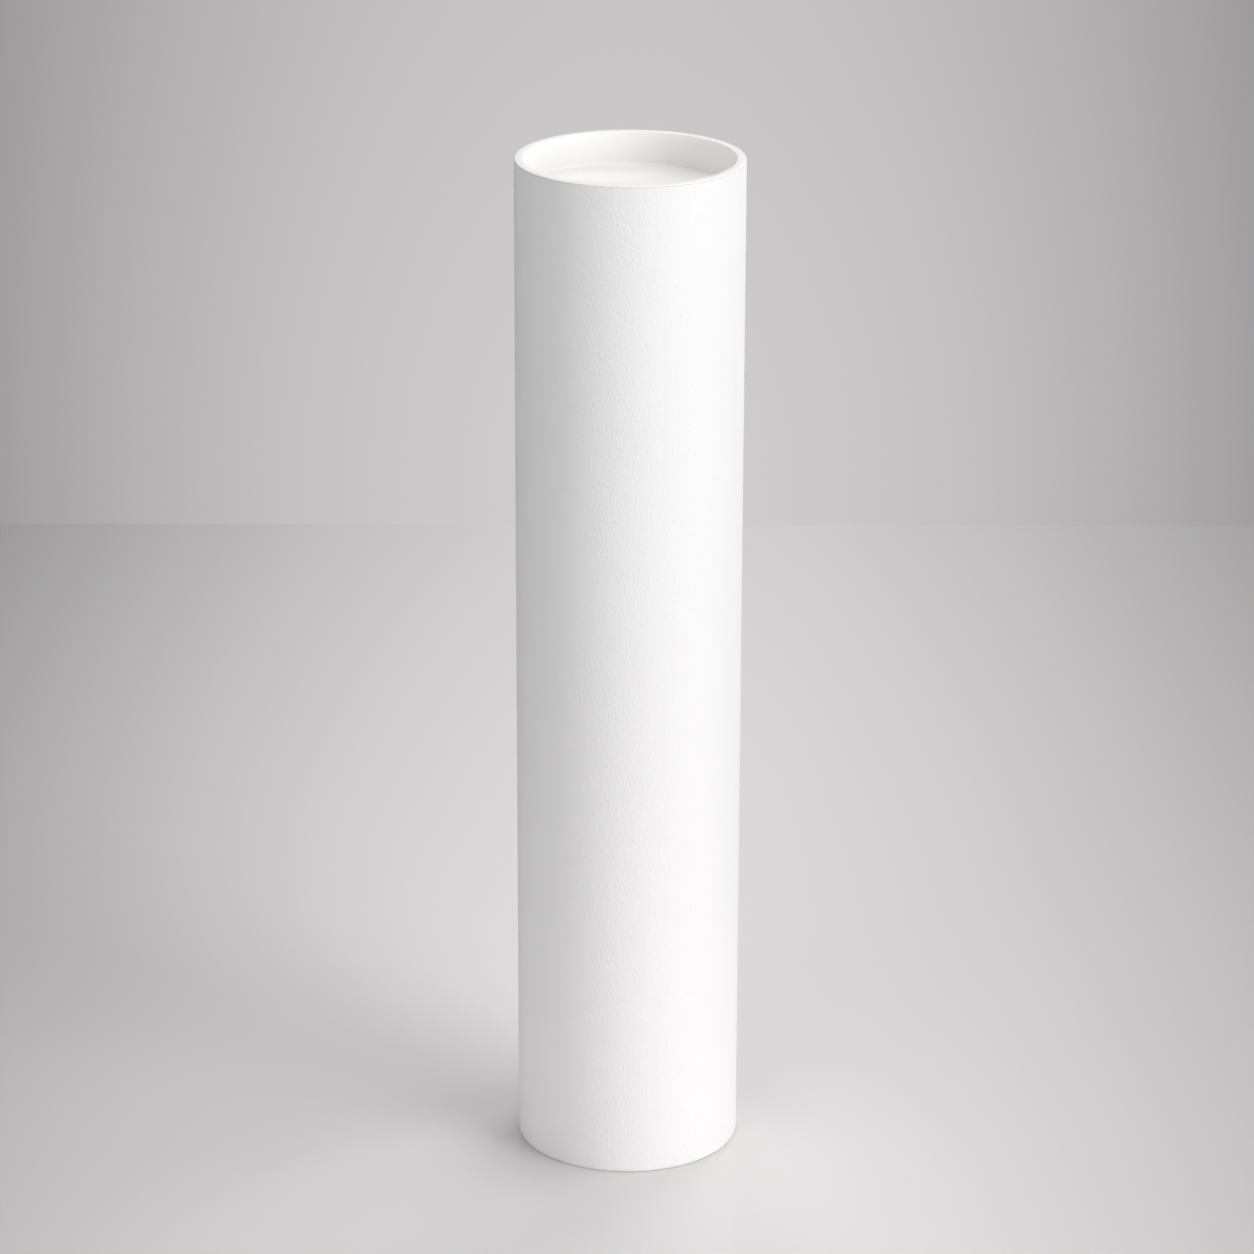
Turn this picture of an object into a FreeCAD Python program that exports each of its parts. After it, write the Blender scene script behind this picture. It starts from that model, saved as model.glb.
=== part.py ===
import FreeCAD, Part
import math
import os
import Sketcher

# Cardboard mailing tube standing on its end: a spiral-wound board tube, closed at each end
# by a white push-in plug with a thin flange that covers the cut edge of the board.
# Millimetres. The origin is the centre of the base and +Z runs up the tube's axis.

SIZES = (
    ("outer_diameter", 60, "outside diameter of the board tube"),
    ("tube_wall", 1.5, "thickness of the wound board"),
    ("overall_length", 275, "length over both plug flanges"),
    ("board_edge_round", 0.1, "softening of the cut board edges"),
    ("flange_thickness", 0.6, "plug flange, measured along the axis"),
    ("flange_inset", 0.05, "how far the flange stays inside the tube's outside"),
    ("flange_round", 0.4, "round on the flange's outer edge"),
    ("lip_round", 0.3, "round where the flange turns into the plug's mouth"),
    ("plug_gap", 0.35, "radial gap from the bore to the plug's wall under the flange"),
    ("plug_wall", 0.6, "thickness of the plug's wall"),
    ("plug_draft", 1, "taper of the plug's wall, in degrees"),
    ("recess_depth", 8.4, "from the rim down to the plug's floor"),
    ("floor_thickness", 0.8, "thickness of the plug's floor"),
    ("floor_round", 0.5, "round in the corner between the plug's floor and wall"),
    ("plug_end_round", 0.5, "round on the leading edge of the plug"),
    ("bead_gap", 0.1, "radial gap from the bore to the crest of a grip bead"),
    ("bead_round", 0.7, "radius of a grip bead's section"),
    ("bead_start", 2, "from the flange's underside to the first grip bead"),
    ("bead_end", 1.8, "from the last grip bead to the plug's leading end"),
    ("bead_count", 3, "grip beads round each plug"),
    ("gate_diameter", 4, "round moulding mark in the middle of the plug's floor"),
    ("gate_depth", 0.2, "depth of the moulding mark"),
)

# The same sizes by name, for the first guesses that the sketches start from.
SIZE = {alias: value for alias, value, meaning in SIZES}

TUBE_RADIUS = "Sizes.outer_diameter / 2"
BORE_RADIUS = f"({TUBE_RADIUS} - Sizes.tube_wall)"
PLUG_RADIUS = f"({BORE_RADIUS} - Sizes.plug_gap)"
MOUTH_RADIUS = f"({PLUG_RADIUS} - Sizes.plug_wall)"
PLUG_DEPTH = "(Sizes.recess_depth + Sizes.floor_thickness)"
PLUG_LENGTH = f"({PLUG_DEPTH} - Sizes.flange_thickness)"
TAPER = "tan(Sizes.plug_draft * 1 deg)"

# Two lengths closer than this are the same length.
CLOSE = 1e-4


def make_sheet(document):
    """Put the driving sizes into a spreadsheet, one row each."""
    sheet = document.addObject("Spreadsheet::Sheet", "Sizes")
    for row, (alias, value, meaning) in enumerate(SIZES, 1):
        sheet.set(f"A{row}", alias)
        sheet.set(f"B{row}", str(value))
        sheet.setAlias(f"B{row}", alias)
        sheet.set(f"C{row}", meaning)
    document.recompute()
    return sheet


def origin_feature(body, role):
    """The body's own origin plane or axis with this role."""
    return next(item for item in body.Origin.OriginFeatures if item.Role == role)


def make_body(document, label):
    """An empty sub-part whose label names its file."""
    body = document.addObject("PartDesign::Body", label)
    body.Label = label
    return body


def add_sketch(body, role, name):
    """An empty sketch on one of the body's origin planes."""
    sketch = body.newObject("Sketcher::SketchObject", name)
    sketch.AttachmentSupport = [(origin_feature(body, role), "")]
    sketch.MapMode = "FlatFace"
    return sketch


def dimension(sketch, name, expression, *constraint):
    """Add a named dimension and bind it to the sheet."""
    value = float(sketch.evalExpression(expression))
    index = sketch.addConstraint(Sketcher.Constraint(*constraint, value))
    sketch.renameConstraint(index, name)
    sketch.setExpression(f"Constraints.{name}", expression)


def radial(sketch, name, expression, line, end):
    """Distance of a line's end from the axis."""
    dimension(sketch, name, expression, "DistanceX", -1, 1, line, end)


def below_rim(sketch, name, expression, line, end):
    """Distance of a line's end below the sketch's origin."""
    dimension(sketch, name, expression, "DistanceY", line, end, -1, 1)


def add_circle(sketch, name, guess, diameter):
    """A circle about the sketch's origin; guess is its diameter before it is bound."""
    centre = FreeCAD.Vector(0, 0, 0)
    circle = sketch.addGeometry(Part.Circle(centre, FreeCAD.Vector(0, 0, 1), guess / 2))
    sketch.addConstraint(Sketcher.Constraint("Coincident", circle, 3, -1, 1))
    dimension(sketch, name, diameter, "Diameter", circle)


def closed_outline(sketch, corners):
    """Lines through the corners and back to the first; line n starts at corner n."""
    points = [FreeCAD.Vector(x, y, 0) for x, y in corners]
    count = len(points)
    for number in range(count):
        sketch.addGeometry(Part.LineSegment(points[number], points[(number + 1) % count]))
    for number in range(count):
        sketch.addConstraint(Sketcher.Constraint("Coincident", number, 2, (number + 1) % count, 1))


def ring_edge(feature, corner):
    """Name of the round edge that a section's corner draws as it turns about the axis."""
    for number, edge in enumerate(feature.Shape.Edges, 1):
        curve = edge.Curve
        if not isinstance(curve, Part.Circle):
            continue
        if abs(curve.Radius - corner.x) < CLOSE and abs(curve.Center.z - corner.y) < CLOSE:
            return f"Edge{number}"
    raise RuntimeError(f"{feature.Name} has no round edge at {corner}")


def add_fillet(body, name, base, edges, size):
    """Round the named edges of a feature by a size from the sheet."""
    fillet = body.newObject("PartDesign::Fillet", name)
    fillet.Base = (base, edges)
    fillet.setExpression("Radius", f"Sizes.{size}")
    body.Document.recompute()
    return fillet


def make_tube(document):
    """The board tube: a ring section pulled along the axis between the two flanges."""
    body = make_body(document, "tube")
    ring = add_sketch(body, "XY_Plane", "board_ring")
    outside = SIZE["outer_diameter"]
    add_circle(ring, "outside", outside, "Sizes.outer_diameter")
    bore = outside - 2 * SIZE["tube_wall"]
    add_circle(ring, "bore", bore, "Sizes.outer_diameter - 2 * Sizes.tube_wall")
    wound = body.newObject("PartDesign::Pad", "wound_board")
    wound.Profile = ring
    wound.setExpression("Length", "Sizes.overall_length - 2 * Sizes.flange_thickness")
    document.recompute()
    cut_edges = [
        f"Edge{number}"
        for number, edge in enumerate(wound.Shape.Edges, 1)
        if isinstance(edge.Curve, Part.Circle)
    ]
    add_fillet(body, "cut_edges", wound, cut_edges, "board_edge_round")
    body.setExpression("Placement.Base.z", "Sizes.flange_thickness")
    return body


def first_cap_corners():
    """Rough corners of the plug's half section, which its dimensions then put in place."""
    flange = SIZE["outer_diameter"] / 2
    plug = flange - SIZE["tube_wall"]
    mouth = plug - SIZE["plug_wall"]
    floor = -SIZE["recess_depth"]
    end = floor - SIZE["floor_thickness"]
    underside = -SIZE["flange_thickness"]
    return [
        (0, floor),
        (mouth, floor),
        (mouth, 0),
        (flange, 0),
        (flange, underside),
        (plug, underside),
        (plug, end),
        (0, end),
    ]


def draw_cap_section(sketch):
    """Half of the plug's section, right of the axis, with the rim at height zero."""
    corners = first_cap_corners()
    closed_outline(sketch, corners)
    floor, wall, rim, flange_edge, underside, plug_side, plug_end, axis = range(len(corners))
    for line in (floor, underside, plug_end):
        sketch.addConstraint(Sketcher.Constraint("Horizontal", line))
    for line in (flange_edge, axis):
        sketch.addConstraint(Sketcher.Constraint("Vertical", line))
    sketch.addConstraint(Sketcher.Constraint("PointOnObject", floor, 1, -2))
    for line in (rim, flange_edge):
        sketch.addConstraint(Sketcher.Constraint("PointOnObject", line, 1, -1))
    radial(sketch, "mouth_radius", MOUTH_RADIUS, rim, 1)
    radial(sketch, "flange_radius", f"{TUBE_RADIUS} - Sizes.flange_inset", flange_edge, 1)
    radial(sketch, "plug_radius", PLUG_RADIUS, plug_side, 1)
    radial(sketch, "floor_radius", f"{MOUTH_RADIUS} - Sizes.recess_depth * {TAPER}", wall, 1)
    end_radius = f"{PLUG_RADIUS} - {PLUG_LENGTH} * {TAPER}"
    radial(sketch, "plug_end_radius", end_radius, plug_end, 1)
    below_rim(sketch, "recess", "Sizes.recess_depth", floor, 1)
    below_rim(sketch, "flange", "Sizes.flange_thickness", underside, 1)
    below_rim(sketch, "plug_depth", PLUG_DEPTH, plug_end, 1)
    return {"floor": wall, "lip": rim, "flange": flange_edge, "leading": plug_end}


def draw_bead_section(sketch):
    """One grip bead: an arc whose crest nearly reaches the bore, closed inside the plug's wall."""
    bead = SIZE["bead_round"]
    crest_guess = SIZE["outer_diameter"] / 2 - SIZE["tube_wall"] - SIZE["bead_gap"]
    height_guess = -SIZE["flange_thickness"] - SIZE["bead_start"]
    centre = FreeCAD.Vector(crest_guess - bead, height_guess, 0)
    circle = Part.Circle(centre, FreeCAD.Vector(0, 0, 1), bead)
    arc = sketch.addGeometry(Part.ArcOfCircle(circle, -math.pi / 2, math.pi / 2))
    ends = sketch.Geometry[arc]
    chord = sketch.addGeometry(Part.LineSegment(ends.EndPoint, ends.StartPoint))
    sketch.addConstraint(Sketcher.Constraint("Coincident", arc, 2, chord, 1))
    sketch.addConstraint(Sketcher.Constraint("Coincident", chord, 2, arc, 1))
    sketch.addConstraint(Sketcher.Constraint("Vertical", chord))
    dimension(sketch, "bead_round", "Sizes.bead_round", "Radius", arc)
    crest = f"{BORE_RADIUS} - Sizes.bead_gap"
    radial(sketch, "bead_centre", f"{crest} - Sizes.bead_round", arc, 3)
    middle = f"{PLUG_RADIUS} - Sizes.plug_wall / 2 - {PLUG_LENGTH} / 2 * {TAPER}"
    radial(sketch, "middle_of_wall", middle, chord, 1)
    below_rim(sketch, "bead_height", "Sizes.flange_thickness + Sizes.bead_start", arc, 3)


def add_turned(body, name, sketch):
    """Turn a section right round the sketch's upright axis."""
    turned = body.newObject("PartDesign::Revolution", name)
    turned.Profile = sketch
    turned.ReferenceAxis = (sketch, ["V_Axis"])
    turned.Angle = 360
    body.Document.recompute()
    return turned


def add_gate_mark(body):
    """The shallow round mark left by moulding in the middle of the floor."""
    before = body.Shape.Volume
    mark = add_sketch(body, "XY_Plane", "gate_ring")
    mark.setExpression("AttachmentOffset.Base.z", "-Sizes.recess_depth")
    add_circle(mark, "gate", SIZE["gate_diameter"], "Sizes.gate_diameter")
    gate = body.newObject("PartDesign::Pocket", "gate_mark")
    gate.Profile = mark
    gate.setExpression("Length", "Sizes.gate_depth")
    body.Document.recompute()
    if body.Shape.Volume >= before:
        raise RuntimeError("the gate mark cut nothing")


def add_grip_beads(body):
    """The row of beads that grips the bore."""
    section = add_sketch(body, "XZ_Plane", "bead_section")
    draw_bead_section(section)
    bead = add_turned(body, "grip_bead", section)
    row = body.newObject("PartDesign::LinearPattern", "grip_beads")
    row.Originals = [bead]
    row.Direction = (origin_feature(body, "Z_Axis"), [""])
    row.Reversed = True
    row.setExpression("Length", f"{PLUG_LENGTH} - Sizes.bead_start - Sizes.bead_end")
    row.setExpression("Occurrences", "Sizes.bead_count")
    body.Tip = row
    body.Document.recompute()


def make_cap(document, label):
    """A push-in plug, drawn with its rim at height zero and its floor below."""
    body = make_body(document, label)
    section = add_sketch(body, "XZ_Plane", "cap_section")
    corner_lines = draw_cap_section(section)
    shell = add_turned(body, "cap_shell", section)
    corners = {name: section.Geometry[line].StartPoint for name, line in corner_lines.items()}
    rounded = shell
    for name, size in (
        ("floor", "floor_round"),
        ("lip", "lip_round"),
        ("flange", "flange_round"),
        ("leading", "plug_end_round"),
    ):
        edge = ring_edge(rounded, corners[name])
        rounded = add_fillet(body, f"{name}_round", rounded, [edge], size)
    add_gate_mark(body)
    add_grip_beads(body)
    return body


def check(document, nodes):
    """Raise if an object failed to build or a sub-part has no sound single solid."""
    for item in document.Objects:
        if "Invalid" in item.State or "Error" in item.State:
            raise RuntimeError(f"{item.Label} did not build: {item.State}")
    for node in nodes:
        shape = node.Shape
        if shape.isNull() or not shape.isValid() or len(shape.Solids) != 1:
            raise RuntimeError(f"{node.Label} is not one valid solid")


def main():
    document = FreeCAD.newDocument("mailing_tube")
    make_sheet(document)
    tube = make_tube(document)
    top_cap = make_cap(document, "top_cap")
    top_cap.setExpression("Placement.Base.z", "Sizes.overall_length")
    bottom_cap = make_cap(document, "bottom_cap")
    bottom_cap.Placement.Rotation = FreeCAD.Rotation(FreeCAD.Vector(1, 0, 0), 180)
    document.recompute()
    nodes = (tube, top_cap, bottom_cap)
    check(document, nodes)
    os.makedirs("parts", exist_ok=True)
    for node in nodes:
        node.Shape.exportStep(f"parts/{node.Label}.step")
        box = node.Shape.BoundBox
        print(f"{node.Label}: {node.Shape.Volume:.1f} mm3, z {box.ZMin:.3f} to {box.ZMax:.3f}")


main()
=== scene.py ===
"""Looks of a cardboard mailing tube: white wound board with a push-in plug in each end."""

import math

import bmesh
import bpy
from mathutils import Matrix, Vector


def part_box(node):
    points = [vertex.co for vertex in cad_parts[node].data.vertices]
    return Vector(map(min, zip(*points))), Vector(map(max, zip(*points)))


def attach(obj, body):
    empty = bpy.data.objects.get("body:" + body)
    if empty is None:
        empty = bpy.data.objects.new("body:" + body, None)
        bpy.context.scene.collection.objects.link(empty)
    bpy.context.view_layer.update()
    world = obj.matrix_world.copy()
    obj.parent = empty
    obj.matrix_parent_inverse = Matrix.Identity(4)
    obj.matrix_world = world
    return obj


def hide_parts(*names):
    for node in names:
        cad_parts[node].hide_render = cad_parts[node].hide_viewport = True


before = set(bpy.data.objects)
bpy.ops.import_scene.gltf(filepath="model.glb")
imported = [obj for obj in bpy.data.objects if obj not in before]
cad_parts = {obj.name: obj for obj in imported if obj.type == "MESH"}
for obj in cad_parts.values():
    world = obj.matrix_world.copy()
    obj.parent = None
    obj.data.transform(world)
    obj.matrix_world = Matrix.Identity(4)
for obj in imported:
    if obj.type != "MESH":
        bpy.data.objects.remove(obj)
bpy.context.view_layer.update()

bl_info = {
    "name": "Mailing tube",
    "version": (1, 0, 0),
    "blender": (4, 5, 0),
    "location": "3D View > Sidebar > Mailing tube",
    "description": "A white board tube, its two push-in plugs and a small pale studio",
    "category": "Add Mesh",
}

MM = 0.001

# Sides of every round form: fine enough that the outline shows no corners.
SIDES = 256

# Steps round each small curve: fine enough that none shows corners.
BOARD_EDGE_STEPS = 3
RIM_STEPS = 6
PLUG_END_STEPS = 5
BEAD_STEPS = 10

# Two lengths closer than this are the same length.
CLOSE = 0.002 * MM

# Corners closer than this become one corner.
MERGED = CLOSE / 20

# A face whose normal points at least this much up or down lies level.
LEVEL = 0.9

# Faces that meet at less than this angle are shaded as one smooth surface.
SMOOTH_ANGLE = math.radians(40)


def radius_of(point):
    """Distance of a point from the tube's axis."""
    return math.hypot(point.x, point.y)


def node_points(node):
    """The corner points of one of the frame's nodes."""
    return [vertex.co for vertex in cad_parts[node].data.vertices]


# Sizes that the frame gives, in metres.
TUBE_LOW, TUBE_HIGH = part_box("tube")
PLUG_LOW, PLUG_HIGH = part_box("top_cap")
TUBE_RADIUS = max(map(radius_of, node_points("tube")))
BORE_RADIUS = min(map(radius_of, node_points("tube")))
FLANGE_RADIUS = max(map(radius_of, node_points("top_cap")))
LIP_RADIUS = min(radius_of(p) for p in node_points("top_cap") if PLUG_HIGH.z - p.z < CLOSE)
RECESS_FLOOR = max(p.z for p in node_points("top_cap") if radius_of(p) < LIP_RADIUS / 2)


def length_property(name, description, default):
    """A length that a user would change, shown in the scene's units."""
    return bpy.props.FloatProperty(
        name=name,
        description=description,
        default=default,
        min=0.0,
        precision=5,
        unit="LENGTH",
    )


def linear(hex_colour):
    """An sRGB hex colour as linear red, green, blue and alpha."""
    parts = [int(hex_colour[place:place + 2], 16) / 255 for place in (1, 3, 5)]
    return (*[p / 12.92 if p <= 0.04045 else ((p + 0.055) / 1.055) ** 2.4 for p in parts], 1.0)


def colour_property(name, description, hex_colour):
    """A colour that a user would change, with its default as sRGB hex."""
    return bpy.props.FloatVectorProperty(
        name=name,
        description=description,
        default=linear(hex_colour),
        size=4,
        min=0.0,
        max=1.0,
        subtype="COLOR",
    )


class BoardSettings(bpy.types.PropertyGroup):
    """The wound board tube."""

    edge_round: length_property("Edge round", "Softening of the cut board edges", 0.1 * MM)
    liner: length_property("Liner", "Thickness of the white outer ply", 0.28 * MM)
    ply: length_property("Ply", "Thickness of one inner ply", 0.3 * MM)
    ply_lead: length_property("Ply lead", "Rise of an inner ply in one turn", 96 * MM)
    grain: length_property("Grain", "Spacing of the paper's felt grain", 0.55 * MM)
    white: colour_property("White liner", "Colour of the white outer ply", "#F5F4F4")
    kraft: colour_property("Kraft board", "Colour of the inner plies", "#B79673")


class PlugSettings(bpy.types.PropertyGroup):
    """The push-in plugs."""

    flange_round: length_property("Flange round", "Round on the flange's outer edge", 0.4 * MM)
    lip_round: length_property("Lip round", "Round from the flange into the mouth", 0.3 * MM)
    wall: length_property("Wall", "Thickness of the plug's wall", 0.6 * MM)
    draft: bpy.props.FloatProperty(
        name="Draft",
        description="Taper of the plug's wall",
        default=math.radians(1.0),
        subtype="ANGLE",
    )
    floor_round: length_property("Floor round", "Round between floor and wall", 0.5 * MM)
    end_round: length_property("End round", "Round on the leading edge", 0.5 * MM)
    bead_round: length_property("Bead round", "Radius of a grip bead's section", 0.7 * MM)
    bead_gap: length_property("Bead gap", "Gap from a bead's crest to the bore", 0.1 * MM)
    bead_start: length_property("Bead start", "From flange to first grip bead", 2.0 * MM)
    bead_end: length_property("Bead end", "From last grip bead to leading end", 1.8 * MM)
    bead_count: bpy.props.IntProperty(
        name="Beads",
        description="Grip beads round each plug",
        default=3,
        min=0,
    )
    gate_radius: length_property("Gate radius", "Radius of the moulding mark", 2.0 * MM)
    gate_depth: length_property("Gate depth", "Depth of the moulding mark", 0.2 * MM)
    white: colour_property("White plastic", "Colour of the plugs", "#ECEBEA")


class StudioSettings(bpy.types.PropertyGroup):
    """The floor, the light and the camera."""

    slab_half: length_property("Slab half width", "From the tube to the floor's edge", 0.519)
    # The floor's pale middle is a painted pool of light, and its deep sides are painted shade.
    slab_painted_pool: colour_property("Floor, pale", "Colour of the floor in its pale middle", "#D6D4D4")
    slab_painted_shade: colour_property("Floor, deep", "Colour of the floor at its sides", "#8C8A8B")
    pale_half: length_property("Pale half width", "From the pale middle to the deep sides", 0.38)
    # The backdrop's pale places are painted pools of light, and its deep tone between them is
    # painted shade.
    backdrop_painted_pool: colour_property("Backdrop, pale", "Brightest part of the backdrop", "#CFCDCE")
    backdrop_painted_shade: colour_property("Backdrop, deep", "Darkest part of the backdrop", "#9D9B9C")
    pools: bpy.props.IntProperty(
        name="Backdrop pools",
        description="Pale places round the backdrop, so that each side view has one",
        default=8,
        min=1,
    )
    camera_distance: length_property("Camera distance", "From the axis, along the floor", 1.181)
    camera_height: length_property("Camera height", "Above the floor", 0.5738)
    camera_aside: length_property("Camera aside", "Left of the tube's axis", 0.49 * MM)
    camera_tilt: bpy.props.FloatProperty(
        name="Camera tilt",
        description="How far the camera looks down",
        default=math.radians(19.893),
        subtype="ANGLE",
    )
    camera_roll: bpy.props.FloatProperty(
        name="Camera roll",
        description="How far the camera leans about its own line of sight",
        default=math.radians(0.16),
        subtype="ANGLE",
    )
    lens: bpy.props.FloatProperty(
        name="Lens",
        description="Focal length in millimetres on a 36 mm sensor",
        default=135.24,
        min=1.0,
    )


def deselect_everything():
    """Nothing is selected, so that the next operator acts on new work only."""
    if bpy.context.mode != "OBJECT":
        bpy.ops.object.mode_set(mode="OBJECT")
    bpy.ops.object.select_all(action="DESELECT")


def start_round(name, radius, low, high):
    """A round bar from low to high in edit mode, with its place in its mesh."""
    deselect_everything()
    bpy.ops.mesh.primitive_cylinder_add(
        vertices=SIDES,
        radius=radius,
        depth=high - low,
        location=(0, 0, (low + high) / 2),
    )
    bar = bpy.context.active_object
    bar.name = name
    bar.data.name = name
    bpy.ops.object.transform_apply(location=True)
    bpy.ops.object.mode_set(mode="EDIT")
    return bar


def select_where(kind, test):
    """Select the faces or edges of the mesh being edited that pass a test, and nothing else."""
    bpy.ops.mesh.select_mode(type="FACE" if kind == "faces" else "EDGE")
    bpy.ops.mesh.select_all(action="DESELECT")
    mesh = bpy.context.edit_object.data
    shape = bmesh.from_edit_mesh(mesh)
    for part in getattr(shape, kind):
        if test(part):
            part.select_set(True)
    shape.select_flush_mode()
    bmesh.update_edit_mesh(mesh)


def select_end(height):
    """Select the flat round face at a height."""
    select_where(
        "faces",
        lambda face: abs(face.calc_center_median().z - height) < CLOSE
        and radius_of(face.calc_center_median()) < CLOSE
        and abs(face.normal.z) > LEVEL,
    )


def select_ring(radius, height):
    """Select the round edge at a radius and height."""
    select_where(
        "edges",
        lambda edge: all(
            abs(radius_of(vertex.co) - radius) < CLOSE and abs(vertex.co.z - height) < CLOSE
            for vertex in edge.verts
        ),
    )


def extrude_to(radius, height):
    """Extrude the selected round face and bring it to a new radius and height."""
    shape = bmesh.from_edit_mesh(bpy.context.edit_object.data)
    corner = next(vertex.co.copy() for vertex in shape.verts if vertex.select)
    rise = (0, 0, height - corner.z)
    bpy.ops.mesh.extrude_region_move(TRANSFORM_OT_translate={"value": rise})
    growth = radius / radius_of(corner)
    bpy.ops.transform.resize(value=(growth, growth, 1), center_override=(0, 0, height))


def round_ring(radius, height, size, segments):
    """Round the edge at a radius and height."""
    select_ring(radius, height)
    bpy.ops.mesh.bevel(offset=size, segments=segments, affect="EDGES")


def finish_piece(piece, body, node):
    """Leave edit mode, shade smooth between the edges, and tie the piece to the frame."""
    bpy.ops.mesh.select_all(action="SELECT")
    bpy.ops.mesh.remove_doubles(threshold=MERGED)
    bpy.ops.object.mode_set(mode="OBJECT")
    bpy.ops.object.shade_smooth_by_angle(angle=SMOOTH_ANGLE)
    tie_to_frame(piece, body, node)


def tie_to_frame(piece, body, node):
    """The piece rides on its body and stands for its node, whose part from the frame is hidden."""
    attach(piece, body)
    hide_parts(node)


def add_node(tree, kind, settings=None, inputs=None):
    """Add a shader node; an input is a plain value or the socket that feeds it."""
    made = tree.nodes.new(kind)
    for name, value in (settings or {}).items():
        setattr(made, name, value)
    for name, value in (inputs or {}).items():
        if isinstance(value, bpy.types.NodeSocket):
            tree.links.new(value, made.inputs[name])
        else:
            made.inputs[name].default_value = value
    return made


def start_material(name, roughness, ior):
    """A material with only its shader, its output and the piece's own coordinates."""
    material = bpy.data.materials.new(name)
    material.use_nodes = True
    tree = material.node_tree
    tree.nodes.clear()
    shader = add_node(
        tree,
        "ShaderNodeBsdfPrincipled",
        inputs={"Roughness": roughness, "IOR": ior},
    )
    add_node(tree, "ShaderNodeOutputMaterial", inputs={"Surface": shader.outputs["BSDF"]})
    place = add_node(tree, "ShaderNodeTexCoord").outputs["Object"]
    return material, tree, shader, place


def mix_colours(tree, share, first, second):
    """A colour between two others."""
    mixed = add_node(
        tree,
        "ShaderNodeMix",
        {"data_type": "RGBA"},
        {"Factor": share, 6: first, 7: second},
    )
    return mixed.outputs[2]


def white_liner_paper(settings):
    """Machine-finished white liner: dead matt, with a felt grain that shows where light grazes."""
    material, tree, shader, place = start_material(
        "white_liner_paper", roughness=0.86, ior=1.45
    )
    # Fibres lie mostly along the tube, so the grain is drawn out that way.
    across_to_along = 0.55
    drawn_out = add_node(
        tree,
        "ShaderNodeMapping",
        inputs={"Vector": place, "Scale": (1.0, 1.0, across_to_along)},
    )
    grain = add_node(
        tree,
        "ShaderNodeTexNoise",
        inputs={
            "Vector": drawn_out.outputs["Vector"],
            "Scale": 1 / settings.grain,
            "Detail": 2.0,
            "Roughness": 0.55,
        },
    )
    # The cloudy formation of the sheet, held to the light, spans several millimetres.
    cloud_size = 7 * MM
    cloud = add_node(
        tree,
        "ShaderNodeTexNoise",
        inputs={"Vector": place, "Scale": 1 / cloud_size, "Detail": 3.0, "Roughness": 0.6},
    )
    thin_place = linear("#F4F3F3")
    share = add_node(
        tree,
        "ShaderNodeMapRange",
        inputs={"Value": cloud.outputs["Fac"], "From Min": 0.35, "From Max": 0.65},
    )
    colour = mix_colours(tree, share.outputs["Result"], thin_place, settings.white)
    tree.links.new(colour, shader.inputs["Base Color"])
    grain_relief = 0.12 * MM
    relief = add_node(
        tree,
        "ShaderNodeBump",
        inputs={"Height": grain.outputs["Fac"], "Distance": grain_relief},
    )
    tree.links.new(relief.outputs["Normal"], shader.inputs["Normal"])
    return material


def kraft_bore(settings):
    """Brown kraft ply inside the tube: fibrous, with the open spiral joint of the inmost ply."""
    material, tree, shader, place = start_material("kraft_bore", roughness=0.92, ior=1.45)
    axes = add_node(tree, "ShaderNodeSeparateXYZ", inputs={"Vector": place})
    turn = add_node(
        tree,
        "ShaderNodeMath",
        {"operation": "ARCTAN2"},
        {0: axes.outputs["Y"], 1: axes.outputs["X"]},
    )
    turn_share = add_node(
        tree,
        "ShaderNodeMath",
        {"operation": "DIVIDE"},
        {0: turn.outputs["Value"], 1: 2 * math.pi},
    )
    climbed = add_node(
        tree,
        "ShaderNodeMath",
        {"operation": "DIVIDE"},
        {0: axes.outputs["Z"], 1: settings.ply_lead},
    )
    along = add_node(
        tree,
        "ShaderNodeMath",
        {"operation": "SUBTRACT"},
        {0: climbed.outputs["Value"], 1: turn_share.outputs["Value"]},
    )
    across = add_node(
        tree,
        "ShaderNodeMath",
        {"operation": "PINGPONG"},
        {0: along.outputs["Value"], 1: 0.5},
    )
    # The joint's half width, with its soft edge, as a share of the ply's lead.
    joint_half = 0.35 * MM
    joint_share = joint_half / settings.ply_lead
    ply_face = add_node(
        tree,
        "ShaderNodeMapRange",
        inputs={
            "Value": across.outputs["Value"],
            "From Min": joint_share / 2,
            "From Max": joint_share,
        },
    )
    fibre_size = 1.2 * MM
    fibres = add_node(
        tree,
        "ShaderNodeTexNoise",
        inputs={"Vector": place, "Scale": 1 / fibre_size, "Detail": 6.0, "Roughness": 0.65},
    )
    dark_fibre = linear("#A4835F")
    fibre_colour = mix_colours(tree, fibres.outputs["Fac"], dark_fibre, settings.kraft)
    joint_shade = linear("#856A4B")
    colour = mix_colours(tree, ply_face.outputs["Result"], joint_shade, fibre_colour)
    tree.links.new(colour, shader.inputs["Base Color"])
    fibre_relief = 0.05 * MM
    relief = add_node(
        tree,
        "ShaderNodeBump",
        inputs={"Height": fibres.outputs["Fac"], "Distance": fibre_relief},
    )
    tree.links.new(relief.outputs["Normal"], shader.inputs["Normal"])
    return material


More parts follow.
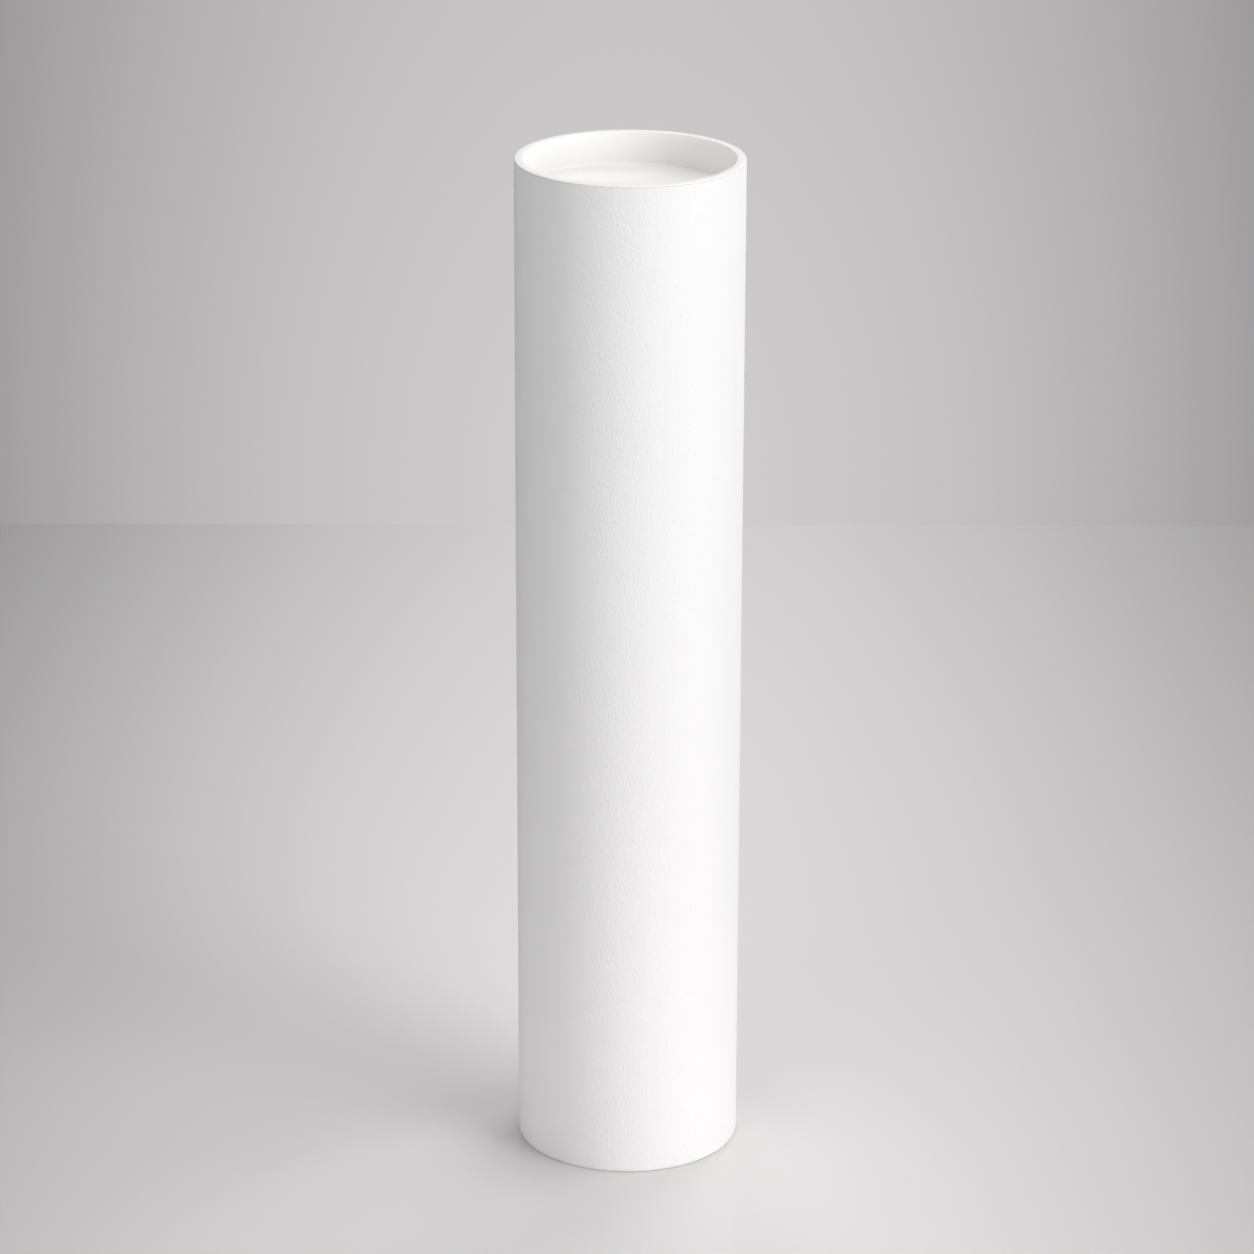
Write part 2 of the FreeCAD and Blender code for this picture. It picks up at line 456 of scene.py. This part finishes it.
def cut_board_edge(settings):
    """Sawn end of the wound board: thin brown plies in rings, with the white liner outermost."""
    material, tree, shader, place = start_material("cut_board_edge", roughness=0.95, ior=1.45)
    flat = add_node(
        tree,
        "ShaderNodeMapping",
        inputs={"Vector": place, "Scale": (1.0, 1.0, 0.0)},
    )
    radius = add_node(
        tree,
        "ShaderNodeVectorMath",
        {"operation": "LENGTH"},
        {0: flat.outputs["Vector"]},
    )
    fuzz_size = 0.6 * MM
    fuzz = add_node(
        tree,
        "ShaderNodeTexNoise",
        inputs={"Vector": place, "Scale": 1 / fuzz_size, "Detail": 4.0},
    )
    raggedness = 0.08 * MM
    ragged = add_node(
        tree,
        "ShaderNodeMath",
        {"operation": "MULTIPLY_ADD"},
        {0: fuzz.outputs["Fac"], 1: raggedness, 2: radius.outputs["Value"]},
    )
    rings = add_node(
        tree,
        "ShaderNodeMath",
        {"operation": "PINGPONG"},
        {0: ragged.outputs["Value"], 1: settings.ply},
    )
    # At a glue line the kraft's own colour keeps this share.
    kraft_in_glue = 0.35
    glue_line = add_node(
        tree,
        "ShaderNodeMapRange",
        inputs={
            "Value": rings.outputs["Value"],
            "From Max": settings.ply,
            "To Min": kraft_in_glue,
        },
    )
    ply_colour = mix_colours(
        tree, glue_line.outputs["Result"], linear("#8E6F4E"), settings.kraft
    )
    liner_start = add_node(
        tree,
        "ShaderNodeMath",
        {"operation": "GREATER_THAN"},
        {0: ragged.outputs["Value"], 1: TUBE_RADIUS - settings.liner},
    )
    colour = mix_colours(tree, liner_start.outputs["Value"], ply_colour, settings.white)
    tree.links.new(colour, shader.inputs["Base Color"])
    # The plies stand proud of the glue lines by this share of their thickness.
    proud_share = 0.5
    relief = add_node(
        tree,
        "ShaderNodeBump",
        inputs={"Height": rings.outputs["Value"], "Distance": proud_share},
    )
    tree.links.new(relief.outputs["Normal"], shader.inputs["Normal"])
    return material


def moulded_plastic(settings):
    """White low-density polyethylene, moulded in a fine satin tool: waxy, faintly soft."""
    material, tree, shader, place = start_material(
        "moulded_polyethylene", roughness=0.48, ior=1.51
    )
    shader.inputs["Subsurface Weight"].default_value = 0.12
    shader.inputs["Subsurface Scale"].default_value = 0.8 * MM
    shader.inputs["Subsurface Radius"].default_value = (1.0, 0.95, 0.9)
    # The tool's spark texture is finer than this and is drawn coarse enough to show.
    texture_size = 0.35 * MM
    texture = add_node(
        tree,
        "ShaderNodeTexNoise",
        inputs={"Vector": place, "Scale": 1 / texture_size, "Detail": 2.0},
    )
    flow_size = 14 * MM
    flow = add_node(
        tree,
        "ShaderNodeTexNoise",
        inputs={"Vector": place, "Scale": 1 / flow_size, "Detail": 2.0},
    )
    colour = mix_colours(tree, flow.outputs["Fac"], linear("#E9E8E7"), settings.white)
    tree.links.new(colour, shader.inputs["Base Color"])
    gloss = add_node(
        tree,
        "ShaderNodeMapRange",
        inputs={"Value": flow.outputs["Fac"], "To Min": 0.42, "To Max": 0.54},
    )
    tree.links.new(gloss.outputs["Result"], shader.inputs["Roughness"])
    texture_relief = 0.004 * MM
    relief = add_node(
        tree,
        "ShaderNodeBump",
        inputs={"Height": texture.outputs["Fac"], "Distance": texture_relief},
    )
    tree.links.new(relief.outputs["Normal"], shader.inputs["Normal"])
    return material


def satin_floor(settings):
    """Pale satin sheet: a weak mirror image of the foot, a painted pool of light in the middle,
    and painted shade that deepens to both sides.
    """
    material, tree, shader, place = start_material(
        "satin_floor_sheet", roughness=0.05, ior=1.3
    )
    axes = add_node(tree, "ShaderNodeSeparateXYZ", inputs={"Vector": place})
    aside = add_node(
        tree,
        "ShaderNodeMath",
        {"operation": "ABSOLUTE"},
        {0: axes.outputs["X"]},
    )
    # Painted shade: the floor's colour darkens from its pale middle towards both sides, standing
    # in for light that falls off.
    depth = add_node(
        tree,
        "ShaderNodeMapRange",
        {"interpolation_type": "SMOOTHSTEP"},
        {"Value": aside.outputs["Value"], "From Max": settings.pale_half},
    )
    painted_light_tone = mix_colours(tree, depth.outputs["Result"], settings.slab_painted_pool, settings.slab_painted_shade)
    tree.links.new(painted_light_tone, shader.inputs["Base Color"])
    return material


class TUBE_OT_board(bpy.types.Operator):
    """Model the wound board tube and its paper"""

    bl_idname = "mailing_tube.board"
    bl_label = "Board tube"

    def execute(self, context):
        settings = context.scene.tube_board
        low, high = TUBE_LOW.z, TUBE_HIGH.z
        piece = start_round("board_tube", TUBE_RADIUS, low, high)
        for height in (low, high):
            select_end(height)
            extrude_to(BORE_RADIUS, height)
        select_where(
            "faces",
            lambda face: abs(face.normal.z) > LEVEL
            and radius_of(face.calc_center_median()) < CLOSE,
        )
        bpy.ops.mesh.bridge_edge_loops()
        for height in (low, high):
            for radius in (BORE_RADIUS, TUBE_RADIUS):
                round_ring(radius, height, settings.edge_round, BOARD_EDGE_STEPS)
        finish_piece(piece, "tube", "tube")
        for material in (white_liner_paper, cut_board_edge, kraft_bore):
            piece.data.materials.append(material(settings))
        liner, edge, bore = range(3)
        for face in piece.data.polygons:
            if radius_of(face.center) > TUBE_RADIUS - settings.edge_round:
                face.material_index = liner
            elif radius_of(face.center) > BORE_RADIUS + settings.edge_round:
                face.material_index = edge
            else:
                face.material_index = bore
        return {"FINISHED"}


def bead_profile(settings, centre_height, wall_radius_at):
    """Radius and height round one grip bead, from above it to below it."""
    crest = BORE_RADIUS - settings.bead_gap
    centre_radius = crest - settings.bead_round
    points = []
    for step in range(BEAD_STEPS + 1):
        angle = math.radians(90 - 180 * step / BEAD_STEPS)
        height = centre_height + settings.bead_round * math.sin(angle)
        radius = centre_radius + settings.bead_round * math.cos(angle)
        if radius > wall_radius_at(height):
            points.append((radius, height))
    return points


class TUBE_OT_plugs(bpy.types.Operator):
    """Model one push-in plug, then copy it to the other end"""

    bl_idname = "mailing_tube.plugs"
    bl_label = "Push-in plugs"

    def execute(self, context):
        settings = context.scene.tube_plugs
        rim, under = PLUG_HIGH.z, TUBE_HIGH.z
        taper = math.tan(settings.draft)
        mouth = LIP_RADIUS - settings.lip_round
        root = mouth + settings.wall
        floor_radius = mouth - (rim - RECESS_FLOOR) * taper

        def wall_radius_at(height):
            return root - (under - height) * taper

        piece = start_round("top_plug", FLANGE_RADIUS, under, rim)
        select_end(under)
        extrude_to(root, under)
        row = under - settings.bead_start - PLUG_LOW.z - settings.bead_end
        pitch = row / max(settings.bead_count - 1, 1)
        for number in range(settings.bead_count):
            centre_height = under - settings.bead_start - number * pitch
            for radius, height in bead_profile(settings, centre_height, wall_radius_at):
                extrude_to(radius, height)
        end_radius = wall_radius_at(PLUG_LOW.z)
        extrude_to(end_radius, PLUG_LOW.z)
        select_end(rim)
        extrude_to(mouth, rim)
        extrude_to(floor_radius, RECESS_FLOOR)
        extrude_to(settings.gate_radius, RECESS_FLOOR)
        extrude_to(settings.gate_radius, RECESS_FLOOR - settings.gate_depth)
        round_ring(FLANGE_RADIUS, rim, settings.flange_round, RIM_STEPS)
        round_ring(mouth, rim, settings.lip_round, RIM_STEPS)
        round_ring(floor_radius, RECESS_FLOOR, settings.floor_round, RIM_STEPS)
        round_ring(end_radius, PLUG_LOW.z, settings.end_round, PLUG_END_STEPS)
        finish_piece(piece, "top_cap", "top_cap")
        piece.data.materials.append(moulded_plastic(settings))
        lower = bpy.data.objects.new("bottom_plug", piece.data.copy())
        lower.data.name = "bottom_plug"
        context.scene.collection.objects.link(lower)
        upside_down = Matrix.Rotation(math.pi, 4, "X")
        to_base = Matrix.Translation((0, 0, PLUG_HIGH.z))
        lower.data.transform(to_base @ upside_down)
        tie_to_frame(lower, "bottom_cap", "bottom_cap")
        return {"FINISHED"}


# Each lamp: its name, kind, azimuth right of the camera and height as angles in degrees,
# distance and width in metres, and power in watts.
LAMPS = (
    ("key_right", "AREA", 60, 18, 1.6, 0.9, 12.5),
    ("key_front", "AREA", 48, 18, 1.6, 0.9, 9.3),
    ("front_left", "AREA", -25, 18, 1.6, 0.9, 7.5),
    ("high_left", "AREA", -60, 40, 1.6, 0.9, 3.5),
    ("side_left", "AREA", -100, 18, 1.6, 0.9, 3.0),
    ("high_right", "AREA", 95, 70, 1.6, 0.4, 5.0),
    ("back_right", "AREA", 150, 36, 1.6, 0.7, 7.6),
    ("high_back", "AREA", 180, 50, 1.6, 0.7, 6.0),
    ("overhead_pool", "SPOT", 0, 90, 1.7, 0.24, 19.0),
)

# The lamps look at the middle of the tube; the overhead one has a soft-edged cone.
TUBE_MIDDLE = Vector((0, 0, (TUBE_LOW.z + TUBE_HIGH.z) / 2))
CONE = math.radians(38)


def add_lamp(name, kind, azimuth, height, distance, width, power):
    """A soft lamp round the tube; only the light that it throws is seen."""
    lamp = bpy.data.lights.new(name, kind)
    lamp.energy = power
    if kind == "AREA":
        lamp.shape = "SQUARE"
        lamp.size = width
    else:
        lamp.shadow_soft_size = width / 2
        lamp.spot_size = CONE
        lamp.spot_blend = 1.0
    holder = bpy.data.objects.new(name, lamp)
    bpy.context.scene.collection.objects.link(holder)
    turned = Matrix.Rotation(math.radians(azimuth), 3, "Z")
    raised = Matrix.Rotation(math.radians(-height), 3, "X")
    away = turned @ raised @ Vector((0, -distance, 0))
    holder.location = TUBE_MIDDLE + away
    holder.rotation_euler = (-away).to_track_quat("-Z", "Y").to_euler()
    holder.visible_camera = False
    holder.visible_glossy = False


def pale_world(settings):
    """No light of its own: a pale backdrop for eye and mirror, with painted pools of light,
    brightest behind the tube, and painted shade between them and towards the top.
    """
    world = bpy.data.worlds.new("pale_studio")
    bpy.context.scene.world = world
    world.use_nodes = True
    tree = world.node_tree
    tree.nodes.clear()
    heading = add_node(tree, "ShaderNodeTexCoord").outputs["Generated"]
    axes = add_node(tree, "ShaderNodeSeparateXYZ", inputs={"Vector": heading})
    azimuth = add_node(
        tree,
        "ShaderNodeMath",
        {"operation": "ARCTAN2"},
        {0: axes.outputs["X"], 1: axes.outputs["Y"]},
    )
    pool_angle = add_node(
        tree,
        "ShaderNodeMath",
        {"operation": "MULTIPLY"},
        {0: azimuth.outputs["Value"], 1: settings.pools},
    )
    # Painted pools of light round the backdrop, the first one behind the tube.
    wave = add_node(
        tree,
        "ShaderNodeMath",
        {"operation": "COSINE"},
        {0: pool_angle.outputs["Value"]},
    )
    # Below this height of the wave the backdrop has its painted shade, the deep tone between the
    # painted pools of light.
    pool_edge = 0.4
    painted_pool = add_node(
        tree,
        "ShaderNodeMapRange",
        inputs={"Value": wave.outputs["Value"], "From Min": pool_edge},
    )
    painted_light_tone = mix_colours(
        tree, painted_pool.outputs["Result"], settings.backdrop_painted_shade, settings.backdrop_painted_pool
    )
    # Painted shade: the backdrop's colour darkens from the floor's far edge upwards; both places
    # are sines of an angle below the level of the eye.
    floor_edge = -0.31
    dimmed_from = -0.15
    dimmed_share = 0.86
    dimming = add_node(
        tree,
        "ShaderNodeMapRange",
        {"interpolation_type": "SMOOTHSTEP"},
        {
            "Value": axes.outputs["Z"],
            "From Min": floor_edge,
            "From Max": dimmed_from,
            "To Min": 1.0,
            "To Max": dimmed_share,
        },
    )
    ray = add_node(tree, "ShaderNodeLightPath")
    seen = add_node(
        tree,
        "ShaderNodeMath",
        {"operation": "MAXIMUM"},
        {0: ray.outputs["Is Camera Ray"], 1: ray.outputs["Is Glossy Ray"]},
    )
    strength = add_node(
        tree,
        "ShaderNodeMath",
        {"operation": "MULTIPLY"},
        {0: seen.outputs["Value"], 1: dimming.outputs["Result"]},
    )
    backdrop = add_node(
        tree,
        "ShaderNodeBackground",
        inputs={"Color": painted_light_tone, "Strength": strength.outputs["Value"]},
    )
    add_node(tree, "ShaderNodeOutputWorld", inputs={"Surface": backdrop.outputs[0]})


def add_camera(settings):
    """The camera at the photograph's viewing angle."""
    lens = bpy.data.cameras.new("studio_camera")
    lens.sensor_width = 36
    lens.lens = settings.lens
    camera = bpy.data.objects.new("studio_camera", lens)
    bpy.context.scene.collection.objects.link(camera)
    place = (-settings.camera_aside, -settings.camera_distance, settings.camera_height)
    stand = Matrix.Translation(place)
    tilt = Matrix.Rotation(math.radians(90) - settings.camera_tilt, 4, "X")
    roll = Matrix.Rotation(settings.camera_roll, 4, "Z")
    camera.matrix_world = stand @ tilt @ roll
    bpy.context.scene.camera = camera


class TUBE_OT_studio(bpy.types.Operator):
    """Lay the pale floor and set the light and the camera"""

    bl_idname = "mailing_tube.studio"
    bl_label = "Studio"

    def execute(self, context):
        settings = context.scene.tube_studio
        deselect_everything()
        thickness = 20 * MM
        bpy.ops.mesh.primitive_cube_add(size=1, location=(0, 0, -thickness / 2))
        slab = context.active_object
        slab.name = "studio_floor"
        slab.scale = (2 * settings.slab_half, 2 * settings.slab_half, thickness)
        bpy.ops.object.transform_apply(location=True, scale=True)
        slab.data.materials.append(satin_floor(settings))
        for lamp in LAMPS:
            add_lamp(*lamp)
        pale_world(settings)
        add_camera(settings)
        context.scene.view_settings.view_transform = "Standard"
        return {"FINISHED"}


class TUBE_PT_panel(bpy.types.Panel):
    """Lists the operators in the sidebar"""

    bl_idname = "TUBE_PT_panel"
    bl_label = "Mailing tube"
    bl_space_type = "VIEW_3D"
    bl_region_type = "UI"
    bl_category = "Mailing tube"

    def draw(self, context):
        for operator, settings_name in zip(OPERATORS, GROUPS):
            settings = getattr(context.scene, settings_name)
            for setting in settings.bl_rna.properties:
                if not setting.is_readonly and setting.identifier != "name":
                    self.layout.prop(settings, setting.identifier)
            self.layout.operator(operator.bl_idname)


# Each operator stands at the same place as its own group of settings.
OPERATORS = (TUBE_OT_board, TUBE_OT_plugs, TUBE_OT_studio)
GROUPS = {
    "tube_board": BoardSettings,
    "tube_plugs": PlugSettings,
    "tube_studio": StudioSettings,
}


def register():
    for name, group in GROUPS.items():
        bpy.utils.register_class(group)
        setattr(bpy.types.Scene, name, bpy.props.PointerProperty(type=group))
    for operator in OPERATORS:
        bpy.utils.register_class(operator)
    bpy.utils.register_class(TUBE_PT_panel)


def unregister():
    bpy.utils.unregister_class(TUBE_PT_panel)
    for operator in OPERATORS:
        bpy.utils.unregister_class(operator)
    for name, group in GROUPS.items():
        delattr(bpy.types.Scene, name)
        bpy.utils.unregister_class(group)


def main():
    register()
    bpy.ops.mailing_tube.board()
    bpy.ops.mailing_tube.plugs()
    bpy.ops.mailing_tube.studio()


if __name__ == "__main__":
    main()
